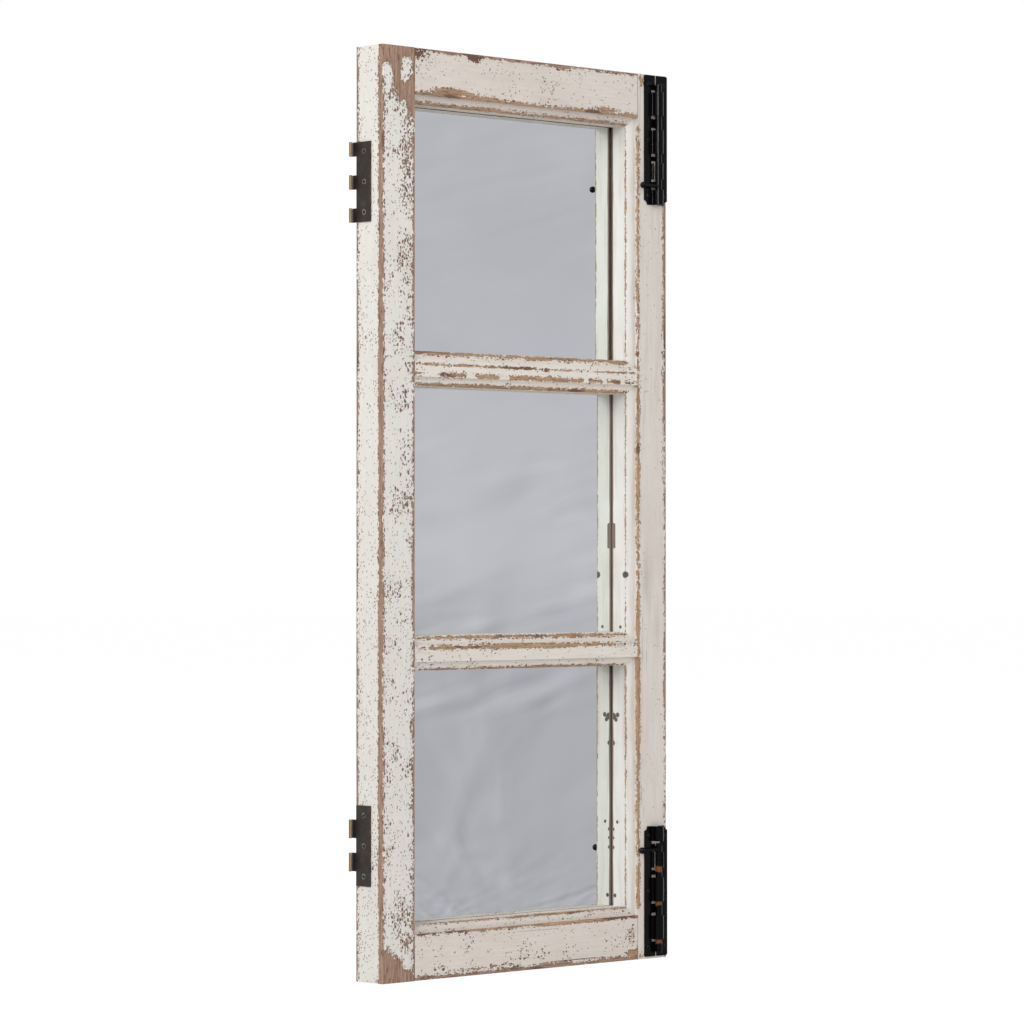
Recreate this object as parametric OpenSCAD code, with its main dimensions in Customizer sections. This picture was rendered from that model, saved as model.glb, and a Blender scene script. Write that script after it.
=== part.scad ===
// Window mirror: an old three-light window sash with mirror in place of its glass.
// Two full-height stiles hold two moulded rails and two moulded muntins by mortise and tenon.
// Each light has its own mirror pane and hardboard backer in a rebate at the back.
// The left edge keeps half of each butt hinge, and the right stile carries two barrel bolts.
// X runs to the right, the sash faces -Y and its back lies in the plane Y = 0, and Z is up.
// The origin is the centre of the sash's back. All lengths are in millimetres.

/* [Sash] */
// Height of the sash
sash_h = 830; // [700:10:1200]
// Width of the sash
sash_w = 360; // [300:5:600]
// Thickness of the stiles and rails, front to back
sash_d = 35; // [32:0.5:48]
// Flat front face of a stile, from the outer edge to the moulding
face_w = 38.4; // [36:0.2:60]
// Flat front face of a rail, from the outer edge to the moulding
rail_face_w = 41.4; // [40:0.2:90]
// Width of the moulding that runs round each light
moulding_w = 8; // [7:0.5:12]
// Depth of the moulding's inner edge behind the front face
moulding_drop = 8.6; // [7:0.2:9]
// Depth of the square step where the moulding leaves the flat face
fillet_d = 4.4; // [0.9:0.1:5]
// Flat front face of a muntin
muntin_flat = 15.3; // [14:0.1:24]
// Height of both muntins above even spacing
muntin_lift = 2.8; // [-6:0.2:6]
// Depth of the glazing rebate from the back
rebate_d = 8.5; // [8:0.5:13]
// Width of the glazing rebate
rebate_w = 7; // [5:0.5:7]
// Radius of the worn outer edges
edge_r = 1.5; // [0.5:0.1:3]
// Gap left in the shoulders of the frame joints
joint_gap = 0.15; // [0.05:0.05:0.4]

/* [Frame joints] */
// Thickness of the tenons
tenon_t = 10; // [7:0.5:12]
// Setback of the tenons from the front face
tenon_setback = 9; // [8:0.5:11]
// Length of a rail's tenon inside the stile
rail_tenon_l = 22; // [16:1:30]
// Height of a rail's tenon
rail_tenon_h = 28; // [20:1:32]
// Distance from the sash's end to a rail's tenon
tenon_haunch = 10; // [6:1:14]
// Length of a muntin's tenon inside the stile
muntin_tenon_l = 16; // [10:1:22]
// Height of a muntin's tenon
muntin_tenon_h = 14; // [8:1:17]
// Clearance round a tenon in its mortise
tenon_fit = 0.1; // [0.05:0.05:0.3]

/* [Mirrors] */
// Thickness of the mirror glass
mirror_t = 3; // [2:0.5:3.5]
// Thickness of the hardboard backers
backer_t = 3; // [2:0.5:3.5]
// Gap between a pane's edge and the rebate's wall
pane_gap = 0.8; // [0.3:0.1:2]
// Length of the glazing points
point_l = 14; // [10:1:16]
// Width of the glazing points
point_w = 7; // [4:0.5:10]
// Thickness of the glazing points
point_t = 0.5; // [0.4:0.1:1]
// Length of a glazing point driven into the wood
point_bite = 6; // [4:0.5:7]

/* [Hinge halves] */
// Height of a hinge leaf
hinge_h = 71.4; // [60:0.2:90]
// Distance from the sash's end to the middle of a hinge
hinge_inset = 120.6; // [90:0.2:160]
// Width of a hinge leaf on the sash, forward from the sash's back
leaf_w = 20.3; // [18:0.1:26]
// Thickness of the hinge leaf
leaf_t = 1.3; // [1:0.1:1.5]
// Radius of the hole for the hinge pin
pin_hole_r = 1.85; // [1.5:0.05:2.2]
// Distance of the hinge pin's axis behind the sash's back
pin_setback = 1.2; // [0.6:0.1:3]
// Turn of each open curl that forms a knuckle, in degrees
curl_turn = 200; // [170:5:240]
// Length of a knuckle on the leaf that has three
outer_knuckle_l = 12.6; // [10:0.2:14]
// Play between the knuckles of two mated leaves
knuckle_play = 0.3; // [0.2:0.1:0.8]
// Distance between the screws of a hinge leaf
hinge_screw_pitch = 27; // [20:0.5:29]
// Distance of the hinge screws from the leaf's front edge
hinge_screw_inset = 8.5; // [7:0.5:11]
// Radius of a hinge screw's head
hinge_head_r = 2.7; // [2.3:0.1:3.4]
// Radius of a hinge screw's shank
hinge_shank_r = 1.5; // [1.1:0.1:1.9]
// Length of a hinge screw
hinge_screw_l = 16; // [10:1:20]

/* [Barrel bolts] */
// Width of a bolt's plate
plate_w = 30; // [28:0.5:36]
// Thickness of a bolt's pressed steel
plate_t = 1.2; // [0.8:0.1:1.6]
// Distance of the plates from the sash's right edge
plate_side_gap = 0.3; // [0.2:0.1:4]
// Distance of the upper plate from the sash's top
upper_plate_gap = 0.5; // [0.2:0.1:20]
// Distance of the lower plate from the sash's bottom
lower_plate_gap = 2; // [0.2:0.1:20]
// Radius of the plate's rounded outer corners
plate_corner_r = 1.5; // [0.5:0.1:3]
// Radius of the scooped corners at the plate's inner end
plate_scoop_r = 4; // [2:0.5:5]
// Diameter of the bolt's rod
rod_dia = 6.35; // [5:0.05:7]
// Gap between the rod and the straps, plate and wing round it
rod_gap = 0.3; // [0.2:0.05:0.5]
// Length of the flat outer end of the plate
end_flat_l = 13.6; // [12.5:0.1:20]
// Height of the slots punched at the ends of the straps
slot_h = 2.4; // [1:0.1:3]
// Width of the slots punched at the ends of the straps
slot_w = 12; // [11:0.5:13]
// Width of the slit along the middle of the flat stretches
slit_w = 2.2; // [1:0.1:3]
// Length of the two guide straps
guide_l = 22.3; // [18:0.1:30]
// Flat length between the guide straps
guide_flat_l = 8.5; // [5:0.1:14]
// Flat length of the outer notch, where the lever stands when the bolt is shot
outer_notch_l = 4.2; // [3:0.1:8]
// Length of the open wing that the lever passes
wing_l = 14.8; // [8:0.1:20]
// Flat length of the inner notch, where the lever stands when the bolt is drawn
inner_notch_l = 5.4; // [4.5:0.1:8]
// Length of the end strap
end_strap_l = 14.1; // [10:0.1:20]
// Height of the low lip beside the wing
lip_h = 0.9; // [0.4:0.1:0.9]
// Angle that the wing stops at, from the lever's side over the top, in degrees
wing_open = 120; // [105:1:130]
// Distance from the rod's tip to the lever
tip_to_lever = 96.3; // [94:0.1:98.5]
// Chamfer on the rod's tip
tip_chamfer = 0.8; // [0.3:0.1:1.5]
// Distance of the drawn upper lever from the end of its notch
upper_lever_play = 1.6; // [0.5:0.1:3]
// Distance of the drawn lower lever from the wing
lower_lever_play = 0.3; // [0.3:0.1:3]
// Angle of the upper lever from the plate, in degrees
upper_lever_tilt = 2; // [-2:0.5:20]
// Angle of the lower lever from the plate, in degrees
lower_lever_tilt = -3.5; // [-3.5:0.5:20]
// Length of a lever from the rod's axis to the middle of its ball
lever_l = 21; // [18:0.5:22]
// Radius of a lever at the rod
lever_r = 1.9; // [1.5:0.1:2]
// Radius of a lever at its ball
lever_neck_r = 1.5; // [1:0.1:1.9]
// Radius of a lever's ball
ball_r = 3.1; // [2:0.05:3.1]
// Length of the lever's hub on the rod
hub_l = 6; // [4.5:0.1:7]
// Radius of the pin that the hub turns on
hub_pin_r = 1.8; // [1.2:0.1:2]
// Running clearance of the hub on its pin
hub_fit = 0.05; // [0.02:0.01:0.1]
// Distance of the bolt screws from the plate's middle line
bolt_screw_offset = 9.2; // [8.8:0.1:10.5]
// Distance of the outer bolt screws from the plate's ends
bolt_screw_inset = 9; // [8:0.5:12]
// Radius of a bolt screw's head
bolt_head_r = 2.4; // [1.8:0.1:2.6]
// Height of a bolt screw's head
bolt_head_h = 1.3; // [0.8:0.1:1.8]
// Radius of a bolt screw's shank
bolt_shank_r = 1.2; // [0.8:0.1:1.5]
// Length of a bolt screw
bolt_screw_l = 12; // [8:1:16]

/* [Hangers] */
// Distance of the hangers from the sash's side edges
hanger_inset = 22; // [12:1:30]
// Distance from the sash's top to the hangers' rings
hanger_drop = 165; // [100:5:260]
// Width of a hanger's strap
strap_w = 10; // [8:0.5:12]
// Thickness of a hanger's strap
strap_t = 1; // [0.8:0.1:1.4]
// Length of a hanger's strap below the ring
strap_l = 40; // [36:1:50]
// Radius of the ring's wire
wire_r = 1.25; // [1:0.05:1.6]
// Running clearance of the ring in the strap's eye
eye_fit = 0.07; // [0.03:0.01:0.1]
// Radius of the ring's bend, to the wire's middle
ring_r = 8; // [7:0.5:10]
// Length of the ring's straight legs
ring_leg = 4; // [2:0.5:6]
// Distance from the ring to the hanger's first screw
hanger_screw_drop = 20; // [19:0.5:22]
// Distance between a hanger's screws
hanger_screw_pitch = 13; // [10:0.5:15]
// Radius of a hanger screw's head
hanger_head_r = 3.1; // [2.4:0.1:3.4]
// Height of a hanger screw's head
hanger_head_h = 1.8; // [1:0.1:2.4]
// Radius of a hanger screw's shank
hanger_shank_r = 1.7; // [1.2:0.1:2]
// Length of a hanger screw
hanger_screw_l = 16; // [10:1:20]

/* [Hidden] */
$fn = 64;

paint = [0.89, 0.86, 0.82];
silver = [0.72, 0.73, 0.76];
hardboard = [0.45, 0.32, 0.21];
black = [0.07, 0.07, 0.07];
bronze = [0.27, 0.23, 0.2];
zinc = [0.72, 0.7, 0.64];

cut = 1;                                    // how far a cutting shape runs past a face
sight_w = face_w + moulding_w;              // a stile's outer edge to its moulding's inner edge
rail_sight_z = sash_h / 2 - rail_face_w - moulding_w;
lip_y = sash_d - rebate_d;                  // front face to the lip that the mirror lies against
ovolo_rise = moulding_drop - fillet_d;
ovolo_r = (moulding_w * moulding_w + ovolo_rise * ovolo_rise) / (2 * ovolo_rise);
muntin_w = muntin_flat + 2 * moulding_w;
light_w = sash_w - 2 * sight_w;             // clear width of each light
light_pitch = (2 * rail_sight_z + muntin_w) / 3;
upper_muntin_z = light_pitch / 2 + muntin_lift;
lower_muntin_z = -light_pitch / 2 + muntin_lift;
tenon_root = 2;                             // how far a tenon runs on into its rail or muntin
rail_tenon_z = sash_h / 2 - tenon_haunch - rail_tenon_h;

// The edges of the three lights, from the top down, each as [lower, upper]
lights = [
    [upper_muntin_z + muntin_w / 2, rail_sight_z],
    [lower_muntin_z + muntin_w / 2, upper_muntin_z - muntin_w / 2],
    [-rail_sight_z, lower_muntin_z - muntin_w / 2]
];
backer_back_y = -rebate_d + mirror_t + backer_t;
side_points = [-0.28, 0.28];                // heights of the side points, as shares of a light

knuckle_r = pin_hole_r + leaf_t;
pin_x = -sash_w / 2 - knuckle_r;
inner_knuckle_l = (hinge_h - 3 * outer_knuckle_l) / 2;
hinge_z = sash_h / 2 - hinge_inset;
hinge_screw_y = -leaf_w + hinge_screw_inset;

rod_r = rod_dia / 2;
rod_h = plate_t + rod_gap + rod_r;          // the rod's axis above the sash's face
strap_in_r = rod_r + rod_gap;
strap_out_r = strap_in_r + plate_t;
bolt_x = sash_w / 2 - plate_side_gap - plate_w / 2;

// Places along a bolt's plate, from its outer end
guide_1 = end_flat_l + slot_h;
guide_2 = guide_1 + guide_l + 2 * slot_h + guide_flat_l;
outer_notch = guide_2 + guide_l;
wing = outer_notch + 2 * slot_h + outer_notch_l;
inner_notch = wing + wing_l;
end_strap = inner_notch + 2 * slot_h + inner_notch_l;
plate_l = end_strap + end_strap_l;
slots = [
    guide_1 - slot_h, guide_1 + guide_l, guide_2 - slot_h, outer_notch,
    wing - slot_h, inner_notch, end_strap - slot_h
];
slits = [
    [-cut, end_flat_l + cut],
    [guide_1 + guide_l, guide_flat_l + 2 * slot_h],
    [outer_notch, outer_notch_l + 2 * slot_h],
    [inner_notch, inner_notch_l + 2 * slot_h]
];
upper_lever_s = end_strap - lever_r - upper_lever_play;
lower_lever_s = inner_notch + lever_r + lower_lever_play;
hub_lead = 2.6 / 6 * hub_l;                 // the hub's length on the tip's side of the lever
hub_end_play = 0.1;
rivet_r = 2.5;
rivet_h = 0.6;
strap_foot_r = 1;
bolt_screw_places = [bolt_screw_inset, plate_l / 2, plate_l - bolt_screw_inset];

eye_in_r = wire_r + eye_fit;
eye_r = eye_in_r + strap_t;
hanger_x = sash_w / 2 - hanger_inset;
hanger_z = sash_h / 2 - hanger_drop;
eye_turn = 300;
eye_rise = 0.3;                             // how far the eye stands off the wood
eye_y = eye_r + eye_rise;
rise_l = 6;                                 // length of the strap's bend up to the eye
hole_fit = 0.05;                            // clearance of a screw's shank in its hole

// Sections of the sash

// The area between a circle and the square corner round it, to be cut from an edge
module corner_waste(r) {
    difference() {
        translate([-cut, -cut]) square(r + cut);
        translate([r, r]) circle(r);
    }
}

// The moulding and the wood behind it: X runs from the flat face to the light, Y to the back
module moulding_2d() {
    intersection() {
        translate([0, fillet_d]) square([moulding_w, ovolo_rise]);
        translate([0, fillet_d + ovolo_r]) circle(ovolo_r, $fn = 160);
    }
    translate([0, moulding_drop]) square([moulding_w, lip_y - moulding_drop]);
    translate([0, lip_y - cut]) square([moulding_w - rebate_w, rebate_d + cut]);
}

// A stile's or rail's section, with a flat face as wide as face: X runs to the light, Y to the back
module member_2d(face) {
    difference() {
        union() {
            square([face, sash_d]);
            translate([face, 0]) moulding_2d();
        }
        corner_waste(edge_r);
        translate([0, sash_d]) mirror([0, 1]) corner_waste(edge_r / 2);
    }
}

// A muntin's section, with a light on either side
module muntin_2d() {
    translate([-muntin_flat / 2, 0]) square([muntin_flat, sash_d]);
    translate([muntin_flat / 2, 0]) moulding_2d();
    mirror([1, 0]) translate([muntin_flat / 2, 0]) moulding_2d();
}

// A stile on the right without its mortises, longer than the sash by extra at each end
module stile_blank(extra = 0) {
    translate([sash_w / 2, -sash_d, -sash_h / 2 - extra])
        mirror([1, 0, 0])
            linear_extrude(sash_h + 2 * extra) member_2d(face_w);
}

// What both stiles take away from a rail or muntin that fits between them
module stile_room() {
    for (side = [0, 1])
        mirror([side, 0, 0])
            translate([-joint_gap, 0, 0]) stile_blank(cut);
}

// A bar with the 2D section of its child, laid along X between the stiles' flat faces
module cross_bar(z) {
    length = sash_w - 2 * face_w - 2 * joint_gap;
    translate([-length / 2, -sash_d, z])
        rotate([0, 90, 0])
            linear_extrude(length) children();
}

// A pair of tenons or mortises, from low to low + height, length into both stiles
module tenons(low, height, length, fit = 0) {
    reach = light_w / 2 + length;
    root = light_w / 2 - tenon_root;
    for (side = [0, 1])
        mirror([side, 0, 0])
            translate([root, -sash_d + tenon_setback - fit, low - fit])
                cube([reach - root + fit, tenon_t + 2 * fit, height + 2 * fit]);
}

module rail_tenons(fit = 0) {
    tenons(rail_tenon_z, rail_tenon_h, rail_tenon_l, fit);
}

module muntin_tenons(z, fit = 0) {
    tenons(z - muntin_tenon_h / 2, muntin_tenon_h, muntin_tenon_l, fit);
}

module mortises() {
    rail_tenons(tenon_fit);
    mirror([0, 0, 1]) rail_tenons(tenon_fit);
    muntin_tenons(upper_muntin_z, tenon_fit);
    muntin_tenons(lower_muntin_z, tenon_fit);
}

// Glazing points, which hold the panes and backers in their rebates

// One point, driven into wood that starts at X = 0
module point(fit = 0) {
    out = point_l - point_bite;
    shoulder = point_bite - point_w / 3;
    half = point_w / 2 + fit;
    translate([0, 0, -fit])
        linear_extrude(point_t + 2 * fit)
            polygon([
                [-out, -half], [shoulder, -half], [point_bite + fit, 0], [shoulder, half], [-out, half]
            ]);
}

// The points of one light: two at each side, and one above and below
module light_points(light, fit = 0) {
    low = light[0] - rebate_w;
    high = light[1] + rebate_w;
    wall_x = light_w / 2 + rebate_w;
    translate([0, backer_back_y, (low + high) / 2])
        for (side = [0, 1], share = side_points)
            mirror([side, 0, 0])
                translate([wall_x, 0, share * (high - low)])
                    rotate([-90, 0, 0]) point(fit);
    translate([0, backer_back_y, high]) rotate([-90, -90, 0]) point(fit);
    translate([0, backer_back_y, low]) rotate([-90, 90, 0]) point(fit);
}

module all_points(fit = 0) {
    for (light = lights) light_points(light, fit);
}

// Screws, each driven along -Z into a surface at Z = 0

// A countersunk screw whose head is flush with the top of a leaf as thick as leaf
module flat_screw(head_r, shank_r, length, leaf) {
    translate([0, 0, leaf - head_r + shank_r]) cylinder(r1 = shank_r, r2 = head_r, h = head_r - shank_r);
    translate([0, 0, -length]) cylinder(r = shank_r, h = length + leaf - head_r + shank_r);
}

// A round-headed screw on a plate as thick as leaf
module round_screw(head_r, head_h, shank_r, length, leaf) {
    dome_r = (head_r * head_r + head_h * head_h) / (2 * head_h);
    translate([0, 0, leaf])
        intersection() {
            translate([0, 0, head_h - dome_r]) sphere(dome_r, $fn = 96);
            cylinder(r = head_r, h = head_h);
        }
    translate([0, 0, -length]) cylinder(r = shank_r, h = length + leaf);
}

// Stands its children at the three screws of both hinge leaves, with -Z into the wood
module at_hinge_screws() {
    for (z = [hinge_z, -hinge_z], step = [-1, 0, 1])
        translate([-sash_w / 2, hinge_screw_y, z + step * hinge_screw_pitch])
            rotate([0, -90, 0]) children();
}

// Stands its children at the screws of both bolts, with -Z into the wood
module at_bolt_screws() {
    for (lower = [false, true], s = bolt_screw_places, side = [-1, 1])
        at_bolt(lower)
            translate([side * bolt_screw_offset, 0, -s])
                rotate([90, 0, 0]) children();
}

// Stands its children at the screws of both hangers, with -Z into the wood
module at_hanger_screws() {
    for (side = [-1, 1], row = [0, 1])
        translate([side * hanger_x, 0, hanger_z - hanger_screw_drop - row * hanger_screw_pitch])
            rotate([-90, 0, 0]) children();
}

module pilot(shank_r, length) {
    translate([0, 0, -length - hole_fit]) cylinder(r = shank_r + hole_fit, h = length + cut);
}

module pilots() {
    at_hinge_screws() pilot(hinge_shank_r, hinge_screw_l);
    at_bolt_screws() pilot(bolt_shank_r, bolt_screw_l);
    at_hanger_screws() pilot(hanger_shank_r, hanger_screw_l);
}

// The sash

module stile(side) {
    color(paint)
        difference() {
            mirror([side, 0, 0]) stile_blank();
            mortises();
            all_points(hole_fit);
            pilots();
        }
}

module rail(side) {
    color(paint)
        difference() {
            mirror([0, 0, side])
                union() {
                    difference() {
                        cross_bar(sash_h / 2) member_2d(rail_face_w);
                        stile_room();
                    }
                    rail_tenons();
                }
            all_points(hole_fit);
            pilots();
        }
}

module muntin(z) {
    color(paint)
        difference() {
            union() {
                difference() {
                    cross_bar(z) muntin_2d();
                    stile_room();
                }
                muntin_tenons(z);
            }
            all_points(hole_fit);
        }
}

// A sheet as thick as t in the rebates round a light, with its front at depth front
module rebate_sheet(light, front, t) {
    width = light_w + 2 * (rebate_w - pane_gap);
    height = light[1] - light[0] + 2 * (rebate_w - pane_gap);
    translate([-width / 2, front, light[0] - rebate_w + pane_gap]) cube([width, t, height]);
}

module mirror_pane(light) {
    color(silver) rebate_sheet(light, -rebate_d, mirror_t);
}

module backer(light) {
    color(hardboard) rebate_sheet(light, -rebate_d + mirror_t, backer_t);
}

module glazing_points() {
    color(zinc) all_points();
}

// Hinge halves

// An open curl from the leaf's rear edge, with the pin's axis at its middle
module knuckle(low, length) {
    tongue = pin_setback + leaf_w / 2;
    translate([pin_x, pin_setback, low]) {
        rotate_extrude(angle = curl_turn) translate([pin_hole_r, 0]) square([leaf_t, length]);
        translate([pin_hole_r, -tongue, 0]) cube([leaf_t, tongue, length]);
    }
}

// A leaf with its knuckles, given as [low, length] pairs from the leaf's lower end
module hinge_leaf(z, knuckles) {
    relief = sqrt(knuckle_r * knuckle_r - pin_hole_r * pin_hole_r) - pin_setback + knuckle_play;
    color(bronze)
        difference() {
            union() {
                translate([-sash_w / 2 - leaf_t, -leaf_w, z - hinge_h / 2])
                    cube([leaf_t, leaf_w - relief, hinge_h]);
                for (k = knuckles) knuckle(z - hinge_h / 2 + k[0], k[1]);
            }
            at_hinge_screws() {
                pilot(hinge_shank_r, hinge_screw_l);
                translate([0, 0, leaf_t - hinge_head_r + hinge_shank_r])
                    cylinder(r1 = hinge_shank_r + hole_fit, r2 = hinge_head_r + hole_fit,
                             h = hinge_head_r - hinge_shank_r);
                translate([0, 0, -cut]) cylinder(r = hinge_shank_r + hole_fit, h = leaf_t + 2 * cut);
            }
        }
}

module upper_hinge_leaf() {
    pitch = outer_knuckle_l + inner_knuckle_l;
    hinge_leaf(hinge_z, [for (i = [0:2]) [i * pitch, outer_knuckle_l]]);
}

module lower_hinge_leaf() {
    pitch = outer_knuckle_l + inner_knuckle_l;
    hinge_leaf(-hinge_z, [
        for (i = [0:1]) [outer_knuckle_l + knuckle_play / 2 + i * pitch, inner_knuckle_l - knuckle_play]
    ]);
}

module hinge_screws() {
    color(bronze) at_hinge_screws() flat_screw(hinge_head_r, hinge_shank_r, hinge_screw_l, leaf_t);
}

// Barrel bolts. In a bolt's own frame Z = 0 is the plate's outer end and -Z runs inwards along it,
// Y = 0 is the sash's face, and the rod lies over X = 0.

module at_bolt(lower) {
    mirror([0, 0, lower ? 1 : 0])
        translate([bolt_x, -sash_d, sash_h / 2 - (lower ? lower_plate_gap : upper_plate_gap)])
            children();
}

// The outline of the flat plate, from above: X across, Y along it from the outer end
module plate_2d() {
    difference() {
        translate([-plate_w / 2, 0]) square([plate_w, plate_l]);
        for (side = [0, 1])
            mirror([side, 0]) {
                translate([-plate_w / 2, 0]) corner_waste(plate_corner_r);
                translate([-plate_w / 2, plate_l]) circle(plate_scoop_r);
            }
        for (s = slots) translate([-slot_w / 2, s]) square([slot_w, slot_h]);
        for (slit = slits) translate([-slit_w / 2, slit[0]]) square([slit_w, slit[1]]);
    }
}

// The section of a closed strap over the rod: X across, Y down towards the wood
module strap_2d() {
    foot = strap_out_r + strap_foot_r;
    difference() {
        union() {
            translate([0, -rod_h]) circle(strap_out_r);
            translate([-foot, -rod_h + plate_t]) square([2 * foot, rod_h - plate_t]);
        }
        translate([0, -rod_h]) circle(strap_in_r);
        translate([-strap_in_r, -rod_h]) square([2 * strap_in_r, rod_h + cut]);
        strap_foot_waste();
        mirror([1, 0]) strap_foot_waste();
    }
}

// What is cut away outside a strap's wall, down to the fillet at its foot
module strap_foot_waste() {
    foot = strap_out_r + strap_foot_r;
    translate([foot, -plate_t - strap_foot_r]) circle(strap_foot_r);
    translate([strap_out_r, -rod_h]) square([strap_foot_r + cut, rod_h - plate_t - strap_foot_r]);
}

// The sector of a strap that the lever needs open: from the plate on its side over the top
module wing_waste_2d() {
    reach = 2 * strap_out_r;
    translate([0, -rod_h])
        polygon([
            [0, 0],
            [-reach * cos(wing_open), -reach * sin(wing_open)],
            [-reach, -reach],
            [-reach, rod_h - plate_t - lip_h],
            [0, rod_h - plate_t - lip_h]
        ]);
}

// Presses its 2D child out of the plate from start over length
module pressed(start, length) {
    translate([0, 0, -start - length]) linear_extrude(length) children();
}

// What a strap leaves open in the flat plate under the rod
module strap_opening(start, length) {
    translate([-strap_in_r, -plate_t - cut, -start - length])
        cube([2 * strap_in_r, plate_t + 2 * cut, length]);
}

module bolt_plate(lower) {
    color(black)
        difference() {
            at_bolt(lower) {
                difference() {
                    rotate([-90, 0, 0]) translate([0, 0, -plate_t]) linear_extrude(plate_t) plate_2d();
                    strap_opening(guide_1, guide_l);
                    strap_opening(guide_2, guide_l);
                    strap_opening(wing, wing_l);
                    strap_opening(end_strap, end_strap_l + cut);
                }
                pressed(guide_1, guide_l) strap_2d();
                pressed(guide_2, guide_l) strap_2d();
                pressed(end_strap, end_strap_l) strap_2d();
                pressed(wing, wing_l)
                    difference() {
                        strap_2d();
                        wing_waste_2d();
                    }
            }
            at_bolt_screws()
                translate([0, 0, -cut]) cylinder(r = bolt_shank_r + hole_fit, h = plate_t + 2 * cut);
        }
}

// The sliding rod, which ends in the pin that the lever's hub turns on
module bolt_rod(lower) {
    lever_s = lower ? lower_lever_s : upper_lever_s;
    hub_start = lever_s - hub_lead;
    pin_l = hub_l + 2 * hub_end_play;
    color(black)
        at_bolt(lower)
            translate([0, -rod_h, 0]) {
                translate([0, 0, -hub_start])
                    cylinder(r = rod_r, h = hub_start - lever_s + tip_to_lever - tip_chamfer);
                translate([0, 0, tip_to_lever - lever_s - tip_chamfer])
                    cylinder(r1 = rod_r, r2 = rod_r - tip_chamfer, h = tip_chamfer);
                translate([0, 0, -hub_start - pin_l]) cylinder(r = hub_pin_r, h = pin_l);
                translate([0, 0, -hub_start - pin_l - rivet_h]) cylinder(r = rivet_r, h = rivet_h);
            }
}

module bolt_lever(lower) {
    lever_s = lower ? lower_lever_s : upper_lever_s;
    tilt = lower ? lower_lever_tilt : upper_lever_tilt;
    hub_wall = (rod_r + hub_pin_r) / 2;
    hub_end = lever_s - hub_lead + hub_end_play + hub_l;
    color(black)
        at_bolt(lower)
            translate([0, -rod_h, 0]) {
                difference() {
                    translate([0, 0, -hub_end]) cylinder(r = rod_r, h = hub_l);
                    translate([0, 0, -lever_s - hub_l]) cylinder(r = hub_pin_r + hub_fit, h = 2 * hub_l);
                }
                translate([0, 0, -lever_s])
                    rotate([0, 0, 180 + tilt])
                        rotate([0, 90, 0]) {
                            translate([0, 0, hub_wall])
                                cylinder(r1 = lever_r, r2 = lever_neck_r, h = lever_l - hub_wall);
                            translate([0, 0, lever_l]) sphere(ball_r);
                        }
            }
}

module bolt_screws() {
    color(black)
        at_bolt_screws() round_screw(bolt_head_r, bolt_head_h, bolt_shank_r, bolt_screw_l, plate_t);
}

// Hangers on the back of the stiles

// The strap from the side, up to its eye and a little into the eye's wall: X away from the wood, Y up
module strap_side_2d() {
    front = eye_rise + strap_t;
    polygon([
        [0, -strap_l], [strap_t, -strap_l], [strap_t, -rise_l], [front, -rise_l / 2], [front, 0],
        [eye_rise + 0.8 * strap_t, strap_t / 2], [eye_rise + 0.3 * strap_t, strap_t / 2],
        [eye_rise, 0], [eye_rise, -rise_l / 2], [0, -rise_l]
    ]);
}

// The strap lies on the stile and curls round the ring's bar at its upper end
module hanger_strap(side) {
    color(zinc)
        difference() {
            translate([side * hanger_x - strap_w / 2, 0, hanger_z]) {
                rotate([90, 0, 90]) linear_extrude(strap_w) strap_side_2d();
                translate([0, eye_y, 0])
                    rotate([90, 0, 90])
                        rotate([0, 0, 180 - eye_turn])
                            rotate_extrude(angle = eye_turn)
                                translate([eye_in_r, 0]) square([strap_t, strap_w]);
            }
            at_hanger_screws()
                translate([0, 0, -cut]) cylinder(r = hanger_shank_r + hole_fit, h = strap_t + 2 * cut);
        }
}

// The ring, hanging down from its bar
module hanger_ring(side) {
    color(zinc)
        translate([side * hanger_x, eye_y, hanger_z]) {
            translate([-ring_r, 0, 0]) rotate([0, 90, 0]) cylinder(r = wire_r, h = 2 * ring_r);
            for (x = [-ring_r, ring_r]) translate([x, 0, 0]) {
                sphere(wire_r);
                translate([0, 0, -ring_leg]) cylinder(r = wire_r, h = ring_leg);
            }
            translate([0, 0, -ring_leg])
                rotate([90, 0, 0])
                    rotate([0, 0, 180])
                        rotate_extrude(angle = 180) translate([ring_r, 0]) circle(wire_r, $fn = 32);
        }
}

module hanger_screws() {
    color(zinc)
        at_hanger_screws()
            round_screw(hanger_head_r, hanger_head_h, hanger_shank_r, hanger_screw_l, strap_t);
}

stile(1);  // left_stile
stile(0);  // right_stile
rail(0);  // top_rail
rail(1);  // bottom_rail
muntin(upper_muntin_z);  // upper_muntin
muntin(lower_muntin_z);  // lower_muntin
mirror_pane(lights[0]);  // top_mirror
mirror_pane(lights[1]);  // middle_mirror
mirror_pane(lights[2]);  // bottom_mirror
backer(lights[0]);  // top_backer
backer(lights[1]);  // middle_backer
backer(lights[2]);  // bottom_backer
glazing_points();
upper_hinge_leaf();
lower_hinge_leaf();
hinge_screws();
bolt_plate(false);  // upper_bolt_plate
bolt_rod(false);  // upper_bolt_rod
bolt_lever(false);  // upper_bolt_lever
bolt_plate(true);  // lower_bolt_plate
bolt_rod(true);  // lower_bolt_rod
bolt_lever(true);  // lower_bolt_lever
bolt_screws();
hanger_strap(-1);  // left_hanger_strap
hanger_strap(1);  // right_hanger_strap
hanger_ring(-1);  // left_hanger_ring
hanger_ring(1);  // right_hanger_ring
hanger_screws();
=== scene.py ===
import math

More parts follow.
